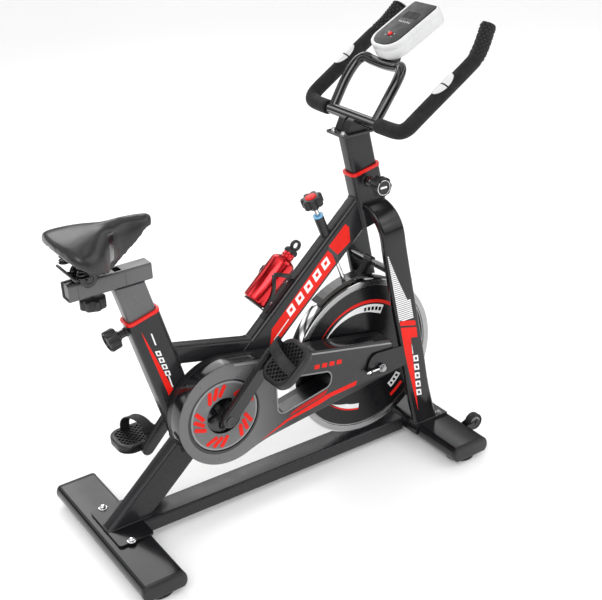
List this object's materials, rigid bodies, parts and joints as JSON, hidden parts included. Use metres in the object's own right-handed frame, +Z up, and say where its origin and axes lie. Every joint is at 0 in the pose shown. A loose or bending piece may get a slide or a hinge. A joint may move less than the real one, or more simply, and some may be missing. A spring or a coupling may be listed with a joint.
{
  "type": "indoor spin bike",
  "caption": "Indoor cycling bike with a rear-braked rim flywheel, belt drive, sliding saddle, height-adjustable handlebar with monitor, bottle cage and levelling feet.",
  "frame": {"origin": "floor point under the middle of the bounding box", "axes": "+Z up, +X from the saddle to the handlebar, +Y to the rider's left"},
  "size_m": [1.0888, 0.504, 1.1709],
  "materials": {
    "frame_paint": "satin dark grey powder coat",
    "red_plastic": "gloss red",
    "cover_plastic": "satin dark grey",
    "black_plastic": "matte black",
    "white_plastic": "satin white",
    "rubber": "matte black",
    "foam": "matte closed-cell foam",
    "vinyl": "satin grained vinyl",
    "chrome": "polished",
    "steel": "brushed",
    "black_steel": "satin black",
    "felt": "wool felt",
    "red_aluminium": "red anodised",
    "lens": "gloss dark"
  },
  "bodies": {
    "bike": {"main_frame": "frame_paint", "rear_stabiliser": "frame_paint", "front_stabiliser": "frame_paint", "rear_right_cap": "black_plastic", "rear_left_cap": "black_plastic", "front_right_cap": "black_plastic", "front_left_cap": "black_plastic", "rear_right_bolt": "chrome", "rear_left_bolt": "chrome", "seat_collar": "red_plastic", "head_collar": "red_plastic", "flywheel_axle": "steel", "right_tension_bolt": "chrome", "left_tension_bolt": "chrome", "bottom_bracket": "steel", "drive_belt": "rubber", "outer_belt_cover": "cover_plastic", "inner_belt_cover": "cover_plastic", "flywheel_guard": "frame_paint", "bottle_cage": "black_steel"},
    "rear_right_foot": {"rear_right_foot": "rubber"},
    "rear_left_foot": {"rear_left_foot": "rubber"},
    "front_right_foot": {"front_right_foot": "rubber"},
    "front_left_foot": {"front_left_foot": "rubber"},
    "right_transport_wheel": {"right_transport_wheel": "rubber"},
    "left_transport_wheel": {"left_transport_wheel": "rubber"},
    "flywheel": {"flywheel": "chrome", "flywheel_bearing": "steel", "flywheel_pulley": "steel"},
    "crank": {"crank_axle": "steel", "drive_pulley": "black_steel", "crank_disc": "cover_plastic", "right_crank": "black_steel", "left_crank": "black_steel"},
    "right_pedal": {"right_pedal": "black_plastic", "right_toe_strap": "rubber"},
    "left_pedal": {"left_pedal": "black_plastic", "left_toe_strap": "rubber"},
    "brake_rod": {"brake_rod": "chrome"},
    "brake_knob": {"brake_knob": "black_plastic"},
    "brake_arm": {"brake_arm": "black_steel", "brake_pad": "felt"},
    "seat_post": {"seat_post": "frame_paint"},
    "seat_slider": {"seat_slider": "black_steel"},
    "seat_pin_knob": {"seat_pin_knob": "black_plastic"},
    "slider_knob": {"slider_knob": "black_plastic"},
    "saddle": {"saddle_cover": "vinyl", "saddle_base": "black_steel", "right_saddle_spring": "black_steel", "left_saddle_spring": "black_steel"},
    "handlebar": {"handlebar_post": "frame_paint", "handlebar": "black_steel", "right_grip": "foam", "left_grip": "foam", "monitor_housing": "white_plastic", "monitor_lens": "lens"},
    "head_pin_knob": {"head_pin_knob": "black_plastic"},
    "monitor_button": {"monitor_button": "red_plastic"},
    "bottle": {"bottle": "red_aluminium"},
    "bottle_cap": {"bottle_cap": "black_plastic"}
  },
  "joints": [
    {"name": "flywheel_spin", "type": "hinge", "parent": "bike", "child": "flywheel", "pos_m": [0.2556, 0, 0.2843], "axis": [0, 1, 0], "continuous": true},
    {"name": "crank_spin", "type": "hinge", "parent": "bike", "child": "crank", "pos_m": [-0.20841, 0, 0.3085], "axis": [0, 1, 0], "continuous": true},
    {"name": "right_pedal_spin", "type": "hinge", "parent": "crank", "child": "right_pedal", "pos_m": [-0.07781, 0, 0.44374], "axis": [0, 1, 0], "continuous": true},
    {"name": "left_pedal_spin", "type": "hinge", "parent": "crank", "child": "left_pedal", "pos_m": [-0.339, 0, 0.17326], "axis": [0, 1, 0], "continuous": true},
    {"name": "seat_height", "type": "slide", "parent": "bike", "child": "seat_post", "axis": [-0.2504, 0, 0.9681], "range_m": [-0.06, 0.11]},
    {"name": "seat_fore_aft", "type": "slide", "parent": "seat_post", "child": "seat_slider", "axis": [1, 0, 0], "range_m": [-0.025, 0.07]},
    {"name": "saddle_tilt", "type": "hinge", "parent": "seat_slider", "child": "saddle", "pos_m": [-0.47941, 0, 0.7305], "axis": [0, 1, 0], "range_deg": [-10, 10]},
    {"name": "slider_knob_turn", "type": "hinge", "parent": "seat_post", "child": "slider_knob", "pos_m": [-0.46641, 0, 0.661], "axis": [0, 0, 1], "range_deg": [0, 720]},
    {"name": "seat_pin_pull", "type": "slide", "parent": "bike", "child": "seat_pin_knob", "axis": [-0.9681, 0, -0.2504], "range_m": [0, 0.012]},
    {"name": "handlebar_height", "type": "slide", "parent": "bike", "child": "handlebar", "axis": [-0.2011, 0, 0.9796], "range_m": [-0.04, 0.06]},
    {"name": "head_pin_pull", "type": "slide", "parent": "bike", "child": "head_pin_knob", "axis": [0, -1, 0], "range_m": [0, 0.012]},
    {"name": "monitor_button_press", "type": "slide", "parent": "handlebar", "child": "monitor_button", "axis": [0.4462, 0, -0.8949], "range_m": [0, 0.0015], "stiffness_N_per_m": 400},
    {"name": "brake_press", "type": "slide", "parent": "bike", "child": "brake_rod", "axis": [0.3419, 0, -0.9397], "range_m": [0, 0.00235]},
    {"name": "brake_knob_turn", "type": "hinge", "parent": "brake_rod", "child": "brake_knob", "pos_m": [0.1255, 0, 0.74996], "axis": [-0.3419, 0, 0.9397], "range_deg": [0, 1080]},
    {"name": "brake_arm_swing", "type": "hinge", "parent": "bike", "child": "brake_arm", "pos_m": [0.29359, 0, 0.55], "axis": [0, -1, 0], "range_deg": [0, 1.44]},
    {"name": "bottle_lift", "type": "slide", "parent": "bike", "child": "bottle", "axis": [0.7509, 0, 0.6605], "range_m": [0, 0.04]},
    {"name": "bottle_cap_turn", "type": "hinge", "parent": "bottle", "child": "bottle_cap", "pos_m": [0.05297, 0, 0.63211], "axis": [0.7509, 0, 0.6605], "range_deg": [0, 720]},
    {"name": "rear_right_foot_screw", "type": "slide", "parent": "bike", "child": "rear_right_foot", "axis": [0, 0, 1], "range_m": [-0.01, 0]},
    {"name": "rear_left_foot_screw", "type": "slide", "parent": "bike", "child": "rear_left_foot", "axis": [0, 0, 1], "range_m": [-0.01, 0]},
    {"name": "front_right_foot_screw", "type": "slide", "parent": "bike", "child": "front_right_foot", "axis": [0, 0, 1], "range_m": [-0.01, 0]},
    {"name": "front_left_foot_screw", "type": "slide", "parent": "bike", "child": "front_left_foot", "axis": [0, 0, 1], "range_m": [-0.01, 0]},
    {"name": "right_transport_wheel_spin", "type": "hinge", "parent": "bike", "child": "right_transport_wheel", "pos_m": [0.51609, -0.165, 0.055], "axis": [0, 1, 0], "continuous": true},
    {"name": "left_transport_wheel_spin", "type": "hinge", "parent": "bike", "child": "left_transport_wheel", "pos_m": [0.51609, 0.165, 0.055], "axis": [0, 1, 0], "continuous": true}
  ],
  "couplings": [
    {"joint": "crank_spin", "follows": "flywheel_spin", "ratio": 0.25},
    {"joint": "brake_arm_swing", "follows": "brake_press", "rad_per_m": 10.69}
  ]
}
